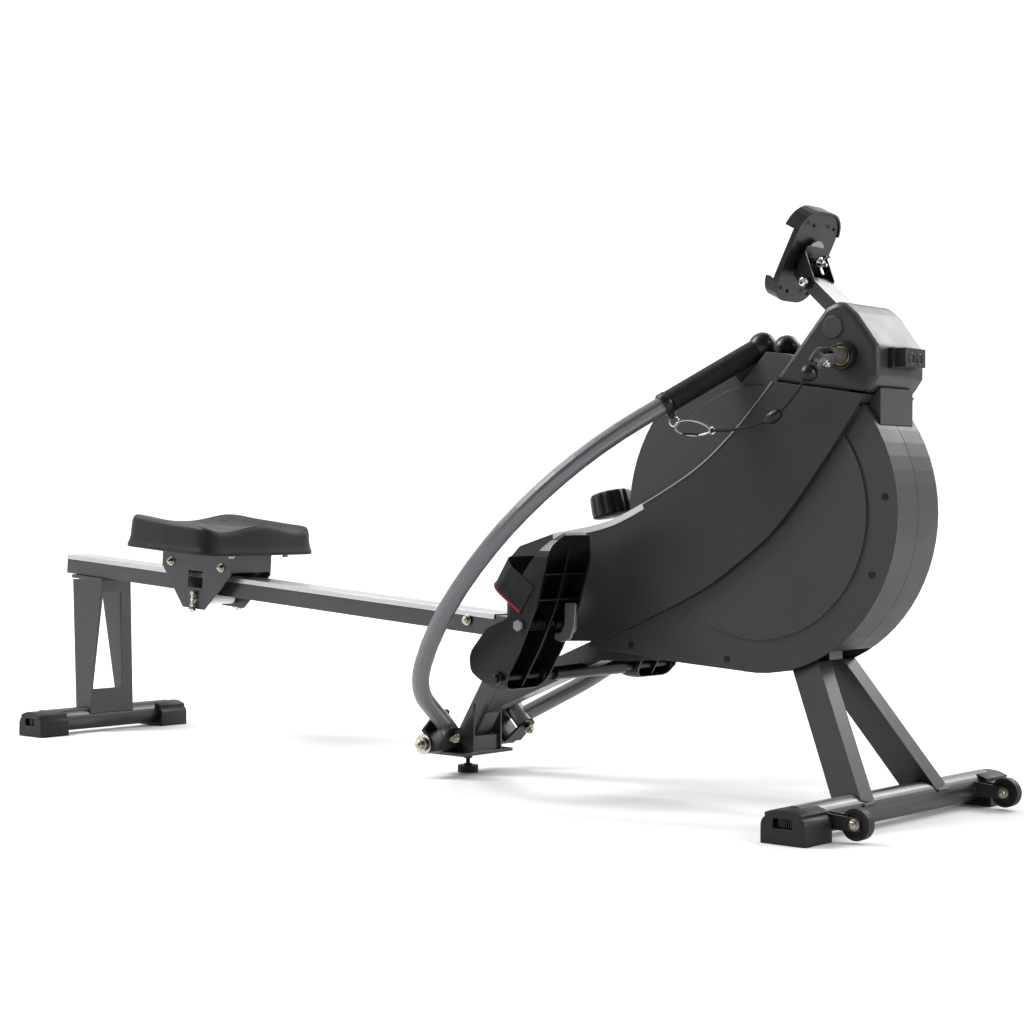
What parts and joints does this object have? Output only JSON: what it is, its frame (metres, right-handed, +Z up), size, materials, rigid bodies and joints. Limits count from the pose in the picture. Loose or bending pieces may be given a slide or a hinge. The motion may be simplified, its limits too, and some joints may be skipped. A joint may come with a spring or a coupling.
{
  "type": "rowing machine",
  "caption": "Indoor rowing machine with a sliding seat on an inclined rail, two curved swing arms, footrests with straps, a covered magnetic flywheel and a device holder.",
  "frame": {"origin": "on the floor, under the centre of the bounding box", "axes": "+X along the machine from the seat's end to the flywheel, +Z up, near pieces on the -Y side"},
  "size_m": [2.2315, 0.7412, 1.0027],
  "materials": {
    "frame_paint": "dark grey metallic paint",
    "arm_paint": "smooth dark grey metallic paint",
    "track_metal": "light brushed metal",
    "cover_plastic": "charcoal matte moulding",
    "cap_plastic": "dark matte moulding",
    "black_plastic": "black satin moulding",
    "rubber": "black rubber",
    "foam": "black closed-cell foam",
    "steel": "bright plated steel",
    "cast_iron": "machined grey iron",
    "white_roller": "white nylon",
    "webbing": "black woven webbing",
    "cord": "black braided cord"
  },
  "bodies": {
    "frame": {"front_stabilizer": "frame_paint", "rear_stabilizer": "frame_paint", "end_cap_front_near": "cap_plastic", "end_cap_front_far": "cap_plastic", "end_cap_rear_near": "cap_plastic", "end_cap_rear_far": "cap_plastic", "front_leg_near": "frame_paint", "front_leg_far": "frame_paint", "rear_leg": "frame_paint", "rail_beam": "frame_paint", "rail_track": "track_metal", "main_post": "frame_paint", "base_tube": "frame_paint", "pivot_axle": "steel", "disc_shell_near": "cover_plastic", "disc_shell_far": "cover_plastic", "side_cover_near": "cover_plastic", "side_cover_far": "cover_plastic", "head_cover": "cover_plastic", "neck_cover": "cover_plastic", "head_bumper": "rubber", "cord_bushing_near": "black_plastic", "cord_bushing_far": "black_plastic", "pull_cord_near": "cord", "pull_cord_far": "cord", "flywheel_axle": "steel", "spool_axle": "steel", "drive_belt": "rubber", "footrest_axle": "steel", "holder_arm": "frame_paint"},
    "levelling_foot": {"levelling_foot": "rubber"},
    "transport_wheel_near": {"transport_wheel_near": "rubber"},
    "transport_wheel_far": {"transport_wheel_far": "rubber"},
    "seat": {"seat_carriage": "frame_paint", "seat_pad": "foam"},
    "rear_roller": {"rear_roller": "black_plastic"},
    "front_roller": {"front_roller": "black_plastic"},
    "under_roller": {"under_roller": "white_roller"},
    "yoke_near": {"arm_yoke_near": "black_plastic"},
    "yoke_far": {"arm_yoke_far": "black_plastic"},
    "arm_near": {"arm_tube_near": "arm_paint", "hand_grip_near": "foam"},
    "arm_far": {"arm_tube_far": "arm_paint", "hand_grip_far": "foam"},
    "swivel_near": {"cord_swivel_near": "steel"},
    "swivel_far": {"cord_swivel_far": "steel"},
    "flywheel": {"flywheel": "cast_iron"},
    "spool": {"cord_spool": "black_plastic"},
    "magnet_arm": {"magnet_arm": "cast_iron"},
    "knob": {"tension_knob": "black_plastic"},
    "footplate_near": {"footplate_near": "black_plastic", "foot_strap_near": "webbing"},
    "footplate_far": {"footplate_far": "black_plastic", "foot_strap_far": "webbing"},
    "lever_near": {"lock_lever_near": "steel"},
    "lever_far": {"lock_lever_far": "steel"},
    "tilt_bracket": {"tilt_bracket": "black_plastic"},
    "holder_plate": {"holder_plate": "black_plastic"},
    "holder_jaw": {"holder_jaw": "black_plastic"}
  },
  "joints": [
    {"name": "foot_screw", "type": "hinge", "parent": "frame", "child": "levelling_foot", "pos_m": [0.0902, 0, 0], "axis": [0, 0, 1], "continuous": true},
    {"name": "wheel_near_spin", "type": "hinge", "parent": "frame", "child": "transport_wheel_near", "pos_m": [1.0914, -0.234, 0.0293], "axis": [0, 1, 0], "continuous": true},
    {"name": "wheel_far_spin", "type": "hinge", "parent": "frame", "child": "transport_wheel_far", "pos_m": [1.0914, 0.234, 0.0293], "axis": [0, 1, 0], "continuous": true},
    {"name": "seat_slide", "type": "slide", "parent": "frame", "child": "seat", "axis": [0.9976, 0, -0.0685], "range_m": [-0.3, 0.52]},
    {"name": "rear_roller_spin", "type": "hinge", "parent": "seat", "child": "rear_roller", "pos_m": [-0.71747, 0, 0.38619], "axis": [0, 1, 0], "range_deg": [-940, 1625]},
    {"name": "front_roller_spin", "type": "hinge", "parent": "seat", "child": "front_roller", "pos_m": [-0.55585, 0, 0.37508], "axis": [0, 1, 0], "range_deg": [-940, 1625]},
    {"name": "under_roller_spin", "type": "hinge", "parent": "seat", "child": "under_roller", "pos_m": [-0.64174, 0, 0.30671], "axis": [0, 1, 0], "range_deg": [-2460, 1425]},
    {"name": "arm_swing_near", "type": "hinge", "parent": "frame", "child": "yoke_near", "pos_m": [0.0902, -0.096, 0.0625], "axis": [0, -1, 0], "range_deg": [0, 68]},
    {"name": "arm_swing_far", "type": "hinge", "parent": "frame", "child": "yoke_far", "pos_m": [0.0902, 0.096, 0.0625], "axis": [0, -1, 0], "range_deg": [0, 68]},
    {"name": "arm_spread_near", "type": "hinge", "parent": "yoke_near", "child": "arm_near", "pos_m": [0.13, -0.106, 0.1], "axis": [0.7169, 0, -0.6972], "range_deg": [0, 25]},
    {"name": "arm_spread_far", "type": "hinge", "parent": "yoke_far", "child": "arm_far", "pos_m": [0.13, 0.106, 0.1], "axis": [-0.7169, 0, 0.6972], "range_deg": [0, 25]},
    {"name": "swivel_near_turn", "type": "hinge", "parent": "frame", "child": "swivel_near", "pos_m": [0.9655, -0.088, 0.7457], "axis": [0, 1, 0], "range_deg": [-40, 75]},
    {"name": "swivel_far_turn", "type": "hinge", "parent": "frame", "child": "swivel_far", "pos_m": [0.9655, 0.088, 0.7457], "axis": [0, 1, 0], "range_deg": [-40, 75]},
    {"name": "flywheel_spin", "type": "hinge", "parent": "frame", "child": "flywheel", "pos_m": [0.792, 0, 0.4956], "axis": [0, 1, 0], "continuous": true},
    {"name": "spool_spin", "type": "hinge", "parent": "frame", "child": "spool", "pos_m": [0.58, 0, 0.352], "axis": [0, 1, 0], "continuous": true},
    {"name": "knob_turn", "type": "hinge", "parent": "frame", "child": "knob", "pos_m": [0.438, 0, 0.508], "axis": [-0.2419, 0, 0.9703], "range_deg": [0, 270]},
    {"name": "magnet_swing", "type": "hinge", "parent": "frame", "child": "magnet_arm", "pos_m": [0.63426, -0.016, 0.59417], "axis": [0, 1, 0], "range_deg": [0, 8]},
    {"name": "footplate_near_tilt", "type": "hinge", "parent": "frame", "child": "footplate_near", "pos_m": [0.383, -0.245, 0.2095], "axis": [0, -1, 0], "range_deg": [0, 20]},
    {"name": "footplate_far_tilt", "type": "hinge", "parent": "frame", "child": "footplate_far", "pos_m": [0.383, 0.245, 0.2095], "axis": [0, -1, 0], "range_deg": [0, 20]},
    {"name": "lever_near_turn", "type": "hinge", "parent": "footplate_near", "child": "lever_near", "pos_m": [0.4305, -0.113, 0.3015], "axis": [0, 1, 0], "range_deg": [0, 60], "stiffness_Nm_per_rad": 0.1, "springref_deg": -17.19},
    {"name": "lever_far_turn", "type": "hinge", "parent": "footplate_far", "child": "lever_far", "pos_m": [0.4305, 0.113, 0.3015], "axis": [0, 1, 0], "range_deg": [0, 60], "stiffness_Nm_per_rad": 0.1, "springref_deg": -17.19},
    {"name": "holder_tilt", "type": "hinge", "parent": "frame", "child": "tilt_bracket", "pos_m": [0.8665, 0, 0.874], "axis": [0, -1, 0], "range_deg": [-30, 30]},
    {"name": "holder_turn", "type": "hinge", "parent": "tilt_bracket", "child": "holder_plate", "pos_m": [0.848, 0, 0.9175], "axis": [0.891, 0, -0.454], "range_deg": [0, 90]},
    {"name": "jaw_slide", "type": "slide", "parent": "holder_plate", "child": "holder_jaw", "axis": [0.454, 0, 0.891], "range_m": [0, 0.04], "stiffness_N_per_m": 60, "springref_m": -0.03}
  ],
  "couplings": [
    {"joint": "rear_roller_spin", "follows": "seat_slide", "rad_per_m": 54.054},
    {"joint": "front_roller_spin", "follows": "seat_slide", "rad_per_m": 54.054},
    {"joint": "under_roller_spin", "follows": "seat_slide", "rad_per_m": -81.967},
    {"joint": "spool_spin", "follows": "flywheel_spin", "ratio": 0.3636},
    {"joint": "magnet_swing", "follows": "knob_turn", "ratio": 0.0296}
  ]
}
